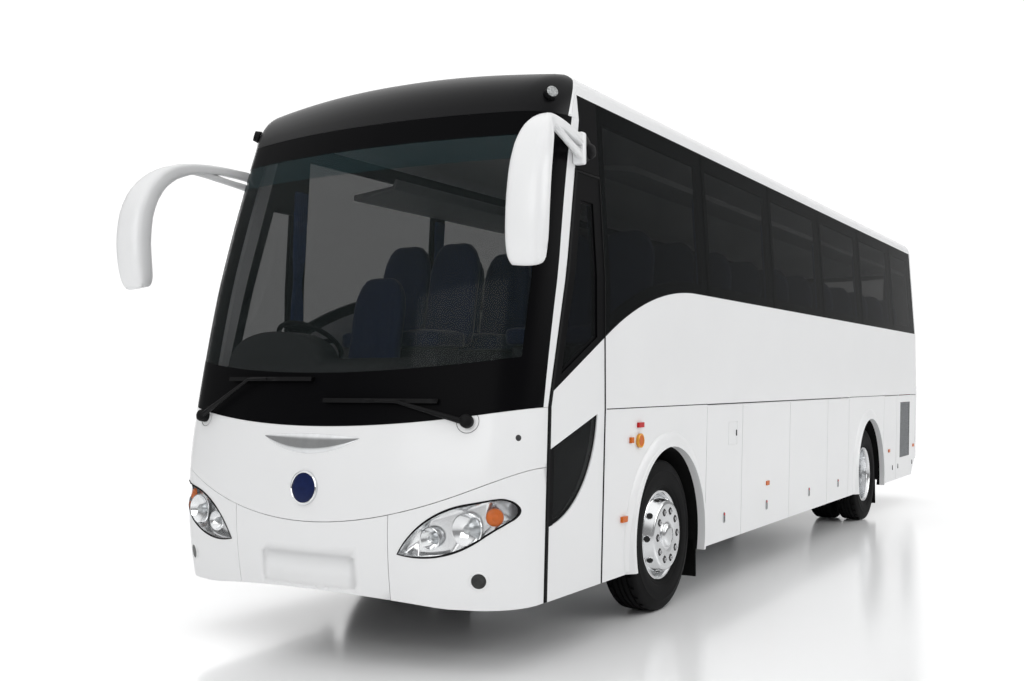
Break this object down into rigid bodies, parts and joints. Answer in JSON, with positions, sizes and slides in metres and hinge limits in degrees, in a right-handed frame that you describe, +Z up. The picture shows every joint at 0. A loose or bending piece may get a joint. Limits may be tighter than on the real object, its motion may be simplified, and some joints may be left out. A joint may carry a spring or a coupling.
{
  "type": "coach bus",
  "caption": "High-deck coach bus with a tall curved windscreen, a plug door ahead of the front axle, luggage flaps along both sides and a rear engine lid.",
  "frame": {"origin": "on the ground under the middle of the whole, mirrors included", "axes": "+Z up, the front faces -Y, +X is the coach's left (door) side"},
  "size_m": [3.088, 11, 3.6],
  "materials": {
    "body_white": "gloss",
    "body_black": "gloss",
    "glass": "tinted",
    "lamp_clear": "clear",
    "lamp_red": "gloss",
    "lamp_amber": "gloss",
    "curtain_cloth": "woven",
    "black_plastic": "matt",
    "chassis_steel": "satin",
    "bay_metal": "satin",
    "floor": "matt",
    "seat_fabric": "woven",
    "rack_plastic": "matt",
    "rubber": "matt",
    "tyre": "matt",
    "wheel_paint": "satin",
    "door_steel": "satin"
  },
  "bodies": {
    "body": {"bumper": "body_white", "front_panel": "body_white", "corner_bands": "body_white", "roof": "body_white", "air_conditioner": "body_white", "side_panel_left": "body_white", "side_panel_right": "body_white", "rear_wall": "body_white", "mirrors": "body_white", "dome": "body_black", "window_frames": "body_black", "windscreen": "glass", "side_glass_left": "glass", "side_glass_right": "glass", "rear_glass": "glass", "headlamps": "lamp_clear", "fog_lamps": "lamp_clear", "tail_lamps": "lamp_red", "side_lamps": "lamp_amber", "curtains": "curtain_cloth", "wipers": "black_plastic", "dashboard": "black_plastic", "frame": "chassis_steel", "front_axle": "chassis_steel", "rear_axle": "chassis_steel", "engine_block": "chassis_steel", "luggage_bay": "bay_metal", "cabin_floor": "floor", "seat_cushions": "seat_fabric", "seat_backs": "seat_fabric", "luggage_racks": "rack_plastic", "mud_flaps": "rubber", "wheel_housings": "rubber"},
    "knuckle_left": {"knuckle_left": "chassis_steel"},
    "knuckle_right": {"knuckle_right": "chassis_steel"},
    "front_wheel_left": {"front_tyre_left": "tyre", "front_rim_left": "wheel_paint"},
    "front_wheel_right": {"front_tyre_right": "tyre", "front_rim_right": "wheel_paint"},
    "rear_wheels_left": {"rear_tyres_left": "tyre", "rear_rims_left": "wheel_paint"},
    "rear_wheels_right": {"rear_tyres_right": "tyre", "rear_rims_right": "wheel_paint"},
    "steering_wheel": {"steering_wheel": "black_plastic"},
    "door_arm": {"door_arm": "door_steel"},
    "door": {"door_leaf": "body_white", "door_glass": "glass"},
    "engine_lid": {"engine_lid": "body_white"},
    "flap_left_1": {"flap_left_1": "body_white"},
    "flap_left_2": {"flap_left_2": "body_white"},
    "flap_left_3": {"flap_left_3": "body_white"},
    "flap_left_4": {"flap_left_4": "body_white"},
    "flap_left_5": {"flap_left_5": "body_white"},
    "flap_left_6": {"flap_left_6": "body_white"},
    "flap_right_1": {"flap_right_1": "body_white"},
    "flap_right_2": {"flap_right_2": "body_white"},
    "flap_right_3": {"flap_right_3": "body_white"},
    "flap_right_4": {"flap_right_4": "body_white"},
    "flap_right_5": {"flap_right_5": "body_white"},
    "flap_right_6": {"flap_right_6": "body_white"}
  },
  "joints": [
    {"name": "steer_left", "type": "hinge", "parent": "body", "child": "knuckle_left", "pos_m": [0.9, -3.15, 0.509], "axis": [0, 0, 1], "range_deg": [-40, 40]},
    {"name": "steer_right", "type": "hinge", "parent": "body", "child": "knuckle_right", "pos_m": [-0.9, -3.15, 0.509], "axis": [0, 0, 1], "range_deg": [-40, 40]},
    {"name": "front_left_spin", "type": "hinge", "parent": "knuckle_left", "child": "front_wheel_left", "pos_m": [1.07, -3.15, 0.509], "axis": [1, 0, 0], "continuous": true},
    {"name": "front_right_spin", "type": "hinge", "parent": "knuckle_right", "child": "front_wheel_right", "pos_m": [-1.07, -3.15, 0.509], "axis": [1, 0, 0], "continuous": true},
    {"name": "rear_left_spin", "type": "hinge", "parent": "body", "child": "rear_wheels_left", "pos_m": [0.92, 2.65, 0.509], "axis": [1, 0, 0], "continuous": true},
    {"name": "rear_right_spin", "type": "hinge", "parent": "body", "child": "rear_wheels_right", "pos_m": [-0.92, 2.65, 0.509], "axis": [1, 0, 0], "continuous": true},
    {"name": "steering_wheel_turn", "type": "hinge", "parent": "body", "child": "steering_wheel", "pos_m": [-0.62, -4.66638, 1.8108], "axis": [0, 0.5736, 0.8192], "range_deg": [-720, 720]},
    {"name": "door_swing", "type": "hinge", "parent": "body", "child": "door_arm", "pos_m": [1.12, -4.77, 0.7], "axis": [0, 0, -1], "range_deg": [0, 105]},
    {"name": "door_pivot", "type": "hinge", "parent": "door_arm", "child": "door", "pos_m": [1.12, -4.23, 0.7], "axis": [0, 0, -1], "range_deg": [-105, 0]},
    {"name": "engine_lid_lift", "type": "hinge", "parent": "body", "child": "engine_lid", "pos_m": [0, 5.478, 1.69], "axis": [1, 0, 0], "range_deg": [0, 85]},
    {"name": "flap_left_1_lift", "type": "hinge", "parent": "body", "child": "flap_left_1", "pos_m": [1.234, -2.045, 1.363], "axis": [0, -1, 0], "range_deg": [0, 92]},
    {"name": "flap_left_2_lift", "type": "hinge", "parent": "body", "child": "flap_left_2", "pos_m": [1.234, -1.00929, 1.363], "axis": [0, -1, 0], "range_deg": [0, 92]},
    {"name": "flap_left_3_lift", "type": "hinge", "parent": "body", "child": "flap_left_3", "pos_m": [1.234, 0.26535, 1.363], "axis": [0, -1, 0], "range_deg": [0, 92]},
    {"name": "flap_left_4_lift", "type": "hinge", "parent": "body", "child": "flap_left_4", "pos_m": [1.234, 1.31964, 1.363], "axis": [0, -1, 0], "range_deg": [0, 92]},
    {"name": "flap_left_5_lift", "type": "hinge", "parent": "body", "child": "flap_left_5", "pos_m": [1.234, 3.7496, 1.363], "axis": [0, -1, 0], "range_deg": [0, 92]},
    {"name": "flap_left_6_lift", "type": "hinge", "parent": "body", "child": "flap_left_6", "pos_m": [1.234, 4.6696, 1.363], "axis": [0, -1, 0], "range_deg": [0, 92]},
    {"name": "flap_right_1_lift", "type": "hinge", "parent": "body", "child": "flap_right_1", "pos_m": [-1.234, -2.045, 1.363], "axis": [0, 1, 0], "range_deg": [0, 92]},
    {"name": "flap_right_2_lift", "type": "hinge", "parent": "body", "child": "flap_right_2", "pos_m": [-1.234, -1.00929, 1.363], "axis": [0, 1, 0], "range_deg": [0, 92]},
    {"name": "flap_right_3_lift", "type": "hinge", "parent": "body", "child": "flap_right_3", "pos_m": [-1.234, 0.26535, 1.363], "axis": [0, 1, 0], "range_deg": [0, 92]},
    {"name": "flap_right_4_lift", "type": "hinge", "parent": "body", "child": "flap_right_4", "pos_m": [-1.234, 1.31964, 1.363], "axis": [0, 1, 0], "range_deg": [0, 92]},
    {"name": "flap_right_5_lift", "type": "hinge", "parent": "body", "child": "flap_right_5", "pos_m": [-1.234, 3.7496, 1.363], "axis": [0, 1, 0], "range_deg": [0, 92]},
    {"name": "flap_right_6_lift", "type": "hinge", "parent": "body", "child": "flap_right_6", "pos_m": [-1.234, 4.6696, 1.363], "axis": [0, 1, 0], "range_deg": [0, 92]}
  ],
  "couplings": [
    {"joint": "steer_right", "follows": "steer_left", "ratio": 1},
    {"joint": "steering_wheel_turn", "follows": "steer_left", "ratio": 18},
    {"joint": "door_pivot", "follows": "door_swing", "ratio": -1}
  ]
}
